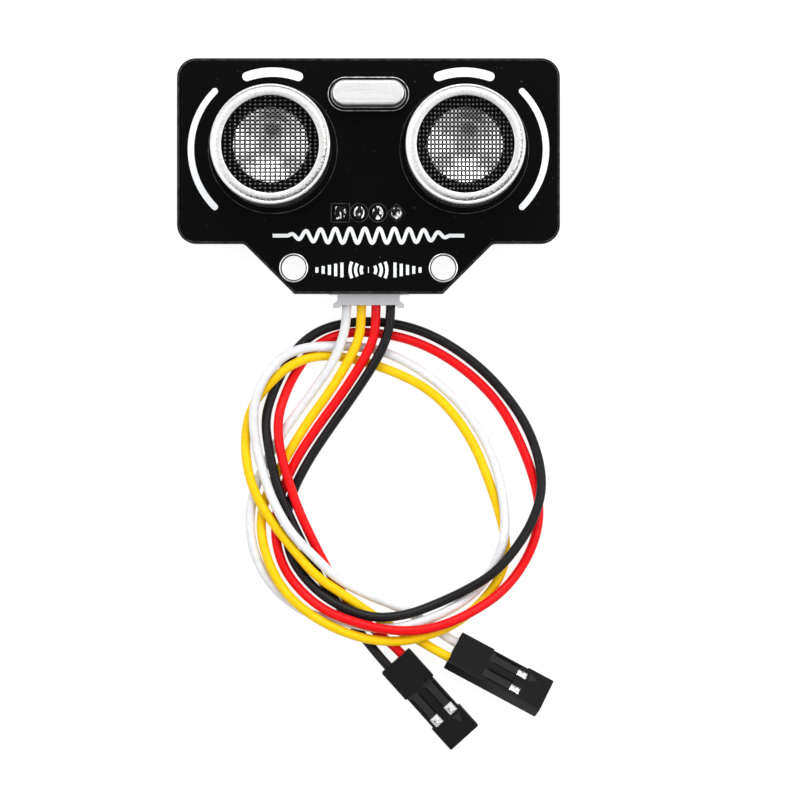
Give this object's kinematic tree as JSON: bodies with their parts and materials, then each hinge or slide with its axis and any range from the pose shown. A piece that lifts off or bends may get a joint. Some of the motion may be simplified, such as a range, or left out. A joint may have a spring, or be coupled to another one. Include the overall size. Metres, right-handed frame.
{
  "type": "ultrasonic distance sensor",
  "caption": "Ultrasonic distance sensor: black notched board with two round silver transducers, a crystal and a plug-on cable whose loose wires end in crimp socket housings.",
  "frame": {"origin": "on the table, under the middle of the board together with the plug that stands out below its lower edge; the sensor lies on its back", "axes": "+Z out of the board's front face, the way the transducers look; +X along the board's long side; +Y to the board's top edge, away from the plug"},
  "size_m": [0.052, 0.0943, 0.0191],
  "materials": {
    "solder_mask": "satin black solder mask on glass laminate",
    "white_ink": "matt screen-printed ink",
    "drawn_aluminium": "satin, faintly grained",
    "woven_wire": "dark woven wire cloth",
    "bright_cone": "bright spun",
    "piezo_ceramic": "matt with a silvered face",
    "black_base_plastic": "moulded",
    "nickel_case": "nickel-plated, soft sheen",
    "dark_flange": "darkened seal ring",
    "tinned_copper": "bright tin plating",
    "solder": "solidified solder",
    "moulded_epoxy": "moulded epoxy",
    "resistor_coat": "glazed",
    "capacitor_ceramic": "matt tan",
    "white_nylon": "moulded nylon",
    "white_insulation": "smooth vinyl",
    "yellow_insulation": "smooth vinyl",
    "red_insulation": "smooth vinyl",
    "black_insulation": "smooth vinyl",
    "black_socket_plastic": "moulded, faintly rough"
  },
  "bodies": {
    "sensor_board": {"amplifier_chip": "moulded_epoxy", "cable_header": "white_nylon", "chip_capacitors": "capacitor_ceramic", "chip_legs": "tinned_copper", "chip_resistors": "resistor_coat", "circuit_board": "solder_mask", "controller_chip": "moulded_epoxy", "crystal_base": "dark_flange", "crystal_can": "nickel_case", "crystal_pins": "tinned_copper", "driver_chip": "moulded_epoxy", "front_printing": "white_ink", "header_pins": "tinned_copper", "header_tabs": "tinned_copper", "mounting_rings": "tinned_copper", "pad_solder": "solder", "pin_solder": "solder", "receiver_base": "black_base_plastic", "receiver_can": "drawn_aluminium", "receiver_cone": "bright_cone", "receiver_grille": "woven_wire", "receiver_piezo": "piezo_ceramic", "receiver_pins": "tinned_copper", "solder_ends": "solder", "transmitter_base": "black_base_plastic", "transmitter_can": "drawn_aluminium", "transmitter_cone": "bright_cone", "transmitter_grille": "woven_wire", "transmitter_piezo": "piezo_ceramic", "transmitter_pins": "tinned_copper"},
    "cable": {"plug_housing": "white_nylon", "plug_contacts": "tinned_copper", "wire_white": "white_insulation", "wire_yellow": "yellow_insulation", "wire_red": "red_insulation", "wire_black": "black_insulation", "signal_socket_housing": "black_socket_plastic", "power_socket_housing": "black_socket_plastic", "signal_socket_contacts": "tinned_copper", "power_socket_contacts": "tinned_copper"}
  },
  "joints": [
    {"name": "plug_slide", "type": "slide", "parent": "sensor_board", "child": "cable", "axis": [0, -1, 0], "range_m": [0, 0.0065]}
  ]
}
